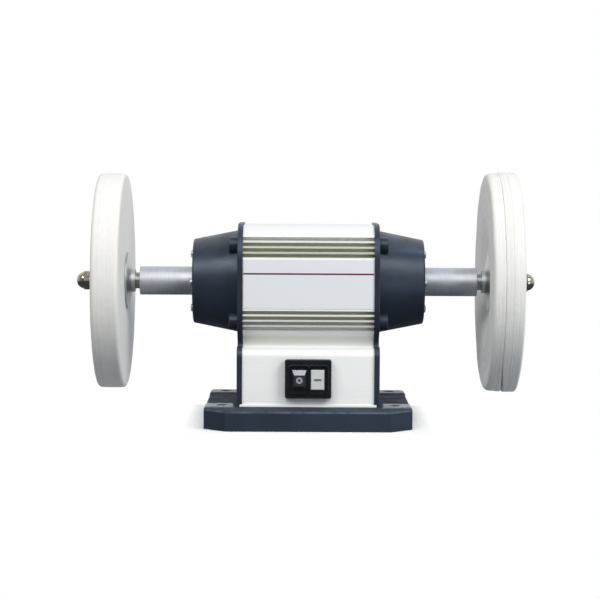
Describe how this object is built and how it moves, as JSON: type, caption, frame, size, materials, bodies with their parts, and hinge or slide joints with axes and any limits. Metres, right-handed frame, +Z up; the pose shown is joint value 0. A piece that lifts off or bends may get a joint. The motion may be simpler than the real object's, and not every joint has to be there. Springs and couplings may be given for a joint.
{
  "type": "polishing machine",
  "caption": "Bench polishing machine with a ribbed motor housing on a cast base, a long sleeved spindle that carries a felt wheel and a sewn cotton wheel, and a push-button switch.",
  "frame": {"origin": "middle of the bench bolt pattern, on the plane the base stands on, under the middle of the motor", "axes": "+X along the spindle towards the cotton wheel, +Y to the back, +Z up; the operator stands at -Y"},
  "size_m": [0.428, 0.2048, 0.2314],
  "materials": {
    "base_enamel": "satin",
    "shield_enamel": "satin",
    "housing_coat": "matte",
    "label_film": "satin",
    "sleeve_steel": "satin",
    "spindle_steel": "satin",
    "flange_steel": "satin",
    "nut_plating": "polished",
    "zinc_screw": "satin",
    "bearing_steel": "polished",
    "lamination": "matte",
    "copper_wire": "satin",
    "cage_alloy": "matte",
    "felt": "matte",
    "cotton": "matte",
    "switch_black": "satin",
    "stop_black": "gloss",
    "start_white": "satin",
    "terminal_brass": "satin",
    "capacitor_can": "satin",
    "cover_sheet": "satin",
    "gland_plastic": "matte",
    "seal_rubber": "matte"
  },
  "bodies": {
    "frame": {"base_casting": "base_enamel", "base_cover": "cover_sheet", "base_cover_screws": "zinc_screw", "cable_gland_body": "gland_plastic", "cable_gland_cap": "gland_plastic", "cable_gland_locknut": "gland_plastic", "cable_gland_seal": "seal_rubber", "capacitor_clip": "cover_sheet", "front_label": "label_film", "left_bearing_outer_race": "bearing_steel", "left_end_shield": "shield_enamel", "left_shaft_seal": "seal_rubber", "left_sleeve_screws": "zinc_screw", "left_spindle_sleeve": "sleeve_steel", "motor_housing": "housing_coat", "pedestal_screws": "zinc_screw", "right_bearing_outer_race": "bearing_steel", "right_end_shield": "shield_enamel", "right_shaft_seal": "seal_rubber", "right_sleeve_screws": "zinc_screw", "right_spindle_sleeve": "sleeve_steel", "run_capacitor": "capacitor_can", "stator_core": "lamination", "stator_winding": "copper_wire", "switch_body": "switch_black", "switch_frame": "switch_black", "switch_terminals": "terminal_brass", "tie_bolt_nuts": "zinc_screw", "tie_bolts": "zinc_screw"},
    "spindle": {"spindle_shaft": "spindle_steel", "rotor_core": "lamination", "rotor_cage": "cage_alloy", "felt_wheel": "felt", "cotton_wheel_inner": "cotton", "cotton_wheel_outer": "cotton", "left_bearing_inner_race": "bearing_steel", "left_inner_flange": "flange_steel", "left_outer_flange": "flange_steel", "left_cap_nut": "nut_plating", "right_bearing_inner_race": "bearing_steel", "right_inner_flange": "flange_steel", "right_outer_flange": "flange_steel", "right_cap_nut": "nut_plating"},
    "start_button": {"start_button": "start_white"},
    "stop_button": {"stop_button": "stop_black"},
    "left_ball_set": {"left_bearing_balls": "bearing_steel", "left_bearing_cage": "terminal_brass"},
    "right_ball_set": {"right_bearing_balls": "bearing_steel", "right_bearing_cage": "terminal_brass"}
  },
  "joints": [
    {"name": "spindle_spin", "type": "hinge", "parent": "frame", "child": "spindle", "pos_m": [0, 0, 0.129], "axis": [1, 0, 0], "continuous": true},
    {"name": "left_ball_set_spin", "type": "hinge", "parent": "frame", "child": "left_ball_set", "pos_m": [-0.094, 0, 0.129], "axis": [1, 0, 0], "continuous": true},
    {"name": "right_ball_set_spin", "type": "hinge", "parent": "frame", "child": "right_ball_set", "pos_m": [0.094, 0, 0.129], "axis": [1, 0, 0], "continuous": true},
    {"name": "start_button_press", "type": "slide", "parent": "frame", "child": "start_button", "axis": [0, 1, 0], "range_m": [0, 0.003], "stiffness_N_per_m": 1500, "springref_m": -0.001},
    {"name": "stop_button_press", "type": "slide", "parent": "frame", "child": "stop_button", "axis": [0, 1, 0], "range_m": [0, 0.003], "stiffness_N_per_m": 1500, "springref_m": -0.001}
  ],
  "couplings": [
    {"joint": "left_ball_set_spin", "follows": "spindle_spin", "ratio": 0.3842},
    {"joint": "right_ball_set_spin", "follows": "spindle_spin", "ratio": 0.3842}
  ]
}
